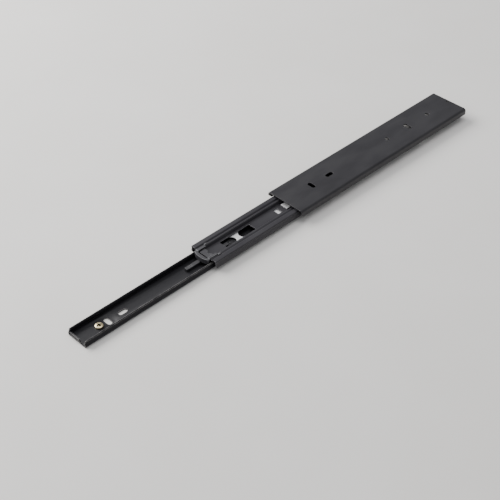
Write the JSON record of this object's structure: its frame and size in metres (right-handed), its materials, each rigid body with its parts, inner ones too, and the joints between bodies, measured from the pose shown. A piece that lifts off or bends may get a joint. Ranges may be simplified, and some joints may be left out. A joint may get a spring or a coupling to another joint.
{
  "type": "cabinet drawer slide",
  "caption": "Full-extension ball-bearing drawer slide with three telescoping members, ball cages, front bumper and release lever.",
  "frame": {"origin": "middle of the cabinet member's flat mounting face", "axes": "+X along the slide from the drawer's front towards the cabinet's back, +Z out of the cabinet mounting face, +Y across"},
  "size_m": [0.5, 0.0454, 0.0244],
  "materials": {
    "black_coat": "satin black electro-coat on rolled steel",
    "bright_zinc": "bright zinc-plated strip",
    "polished_steel": "polished bearing steel",
    "black_plastic": "fine-textured moulding",
    "black_rubber": "matt",
    "yellow_zinc": "yellow-passivated zinc plating"
  },
  "bodies": {
    "cabinet": {"cabinet_member": "black_coat", "rear_buffer": "black_rubber"},
    "outer_cage": {"outer_cage": "bright_zinc", "outer_ball_left_1": "polished_steel", "outer_ball_left_2": "polished_steel", "outer_ball_left_3": "polished_steel", "outer_ball_left_4": "polished_steel", "outer_ball_left_5": "polished_steel", "outer_ball_left_6": "polished_steel", "outer_ball_left_7": "polished_steel", "outer_ball_right_1": "polished_steel", "outer_ball_right_2": "polished_steel", "outer_ball_right_3": "polished_steel", "outer_ball_right_4": "polished_steel", "outer_ball_right_5": "polished_steel", "outer_ball_right_6": "polished_steel", "outer_ball_right_7": "polished_steel"},
    "intermediate": {"intermediate_member": "black_coat", "front_bumper": "black_plastic", "rear_stop": "black_plastic"},
    "inner_cage": {"inner_cage": "bright_zinc", "inner_ball_left_1": "polished_steel", "inner_ball_left_2": "polished_steel", "inner_ball_left_3": "polished_steel", "inner_ball_left_4": "polished_steel", "inner_ball_left_5": "polished_steel", "inner_ball_left_6": "polished_steel", "inner_ball_right_1": "polished_steel", "inner_ball_right_2": "polished_steel", "inner_ball_right_3": "polished_steel", "inner_ball_right_4": "polished_steel", "inner_ball_right_5": "polished_steel", "inner_ball_right_6": "polished_steel"},
    "drawer": {"drawer_member": "black_coat", "lever_rivet": "black_coat", "drawer_screw_front": "yellow_zinc", "drawer_screw_rear": "yellow_zinc"},
    "lever": {"release_lever": "black_plastic"}
  },
  "joints": [
    {"name": "intermediate_slide", "type": "slide", "parent": "cabinet", "child": "intermediate", "axis": [1, 0, 0], "range_m": [0, 0.105]},
    {"name": "outer_cage_slide", "type": "slide", "parent": "cabinet", "child": "outer_cage", "axis": [1, 0, 0], "range_m": [0, 0.0525]},
    {"name": "drawer_slide", "type": "slide", "parent": "intermediate", "child": "drawer", "axis": [1, 0, 0], "range_m": [0, 0.145]},
    {"name": "inner_cage_slide", "type": "slide", "parent": "intermediate", "child": "inner_cage", "axis": [1, 0, 0], "range_m": [0, 0.0725]},
    {"name": "release_lever_pivot", "type": "hinge", "parent": "drawer", "child": "lever", "pos_m": [-0.195, 0, -0.0105], "axis": [0, 0, 1], "range_deg": [-6.5, 0], "stiffness_Nm_per_rad": 0.5}
  ],
  "couplings": [
    {"joint": "outer_cage_slide", "follows": "intermediate_slide", "ratio": 0.5},
    {"joint": "inner_cage_slide", "follows": "drawer_slide", "ratio": 0.5}
  ]
}
